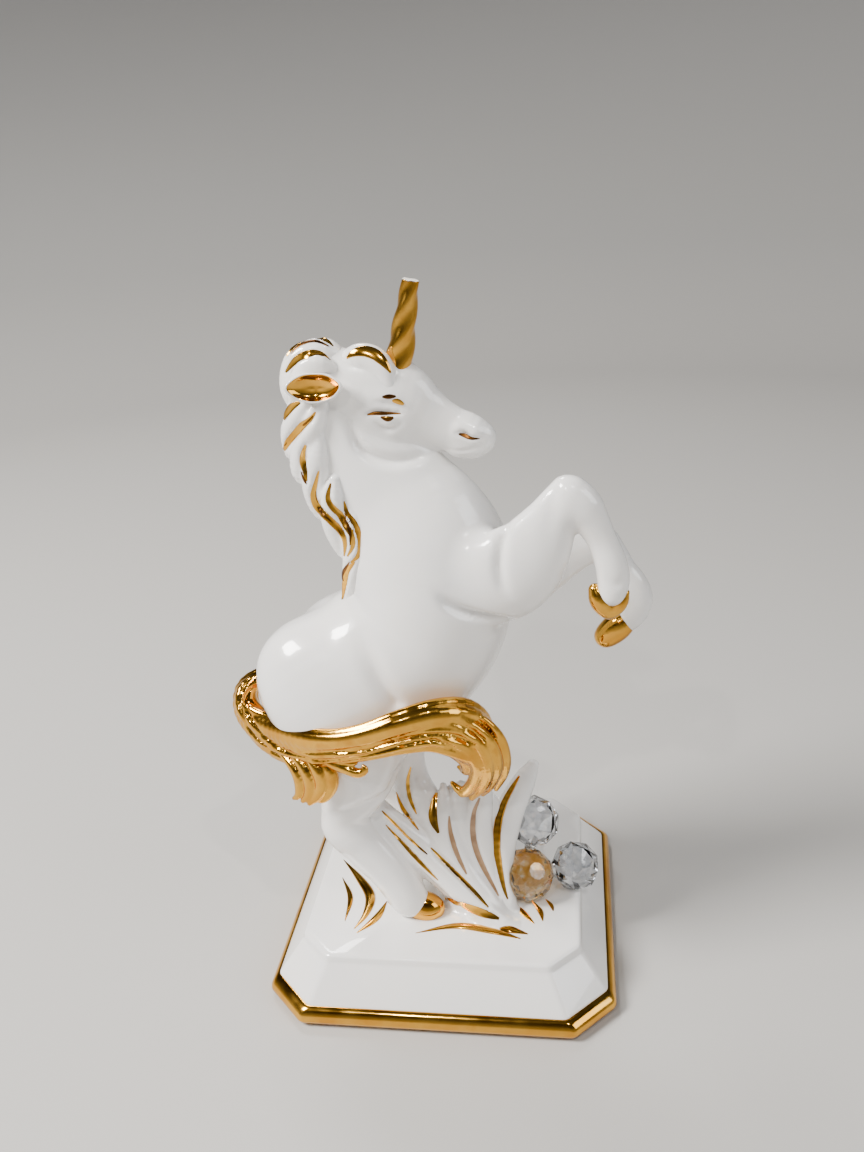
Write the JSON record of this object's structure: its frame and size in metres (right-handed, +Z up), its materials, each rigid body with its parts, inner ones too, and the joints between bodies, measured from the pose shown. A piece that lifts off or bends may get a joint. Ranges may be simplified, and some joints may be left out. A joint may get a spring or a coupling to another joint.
{
  "type": "unicorn figurine",
  "caption": "Glazed porcelain rearing unicorn with gilded tail, mane, hooves and horn, on a stepped plinth with cut crystal beads.",
  "frame": {"origin": "middle of the plinth's foot, on the surface it stands on", "axes": "+Z up, +X the way the animal faces, -Y its near side"},
  "size_m": [0.1067, 0.0852, 0.1744],
  "materials": {
    "white_porcelain": "gloss",
    "gold_lustre": "polished",
    "clear_crystal": "polished",
    "champagne_crystal": "polished",
    "clear_adhesive": "gloss"
  },
  "bodies": {
    "root": {"plinth": "white_porcelain", "gilt_rim": "gold_lustre", "barrel": "white_porcelain", "neck": "white_porcelain", "head": "white_porcelain", "horn": "gold_lustre", "ear_near": "white_porcelain", "ear_far": "white_porcelain", "forelock": "white_porcelain", "mane_lock_1": "white_porcelain", "mane_lock_2": "white_porcelain", "mane_lock_3": "white_porcelain", "mane_lock_4": "white_porcelain", "mane_lock_5": "white_porcelain", "mane_lock_6": "white_porcelain", "mane_lock_7": "white_porcelain", "foreleg_near": "white_porcelain", "foreleg_far": "white_porcelain", "fore_hoof_near": "gold_lustre", "fore_hoof_far": "gold_lustre", "hind_leg_near": "white_porcelain", "hind_leg_far": "white_porcelain", "hind_hoof_near": "gold_lustre", "hind_hoof_far": "gold_lustre", "tail": "gold_lustre", "tail_side_lock": "gold_lustre", "tail_curl": "gold_lustre", "grass_column": "white_porcelain", "grass_fan": "white_porcelain", "grass_leaf_tall": "white_porcelain", "grass_blade_1": "white_porcelain", "grass_blade_2": "white_porcelain", "grass_blade_3": "white_porcelain", "grass_blade_4": "white_porcelain", "grass_blade_5": "white_porcelain", "ground_tuft_left": "gold_lustre", "ground_tuft_front": "gold_lustre", "ground_tuft_right": "gold_lustre", "bead_champagne": "champagne_crystal", "bead_clear_right": "clear_crystal", "bead_clear_back": "clear_crystal", "bead_adhesive": "clear_adhesive"}
  },
  "joints": []
}
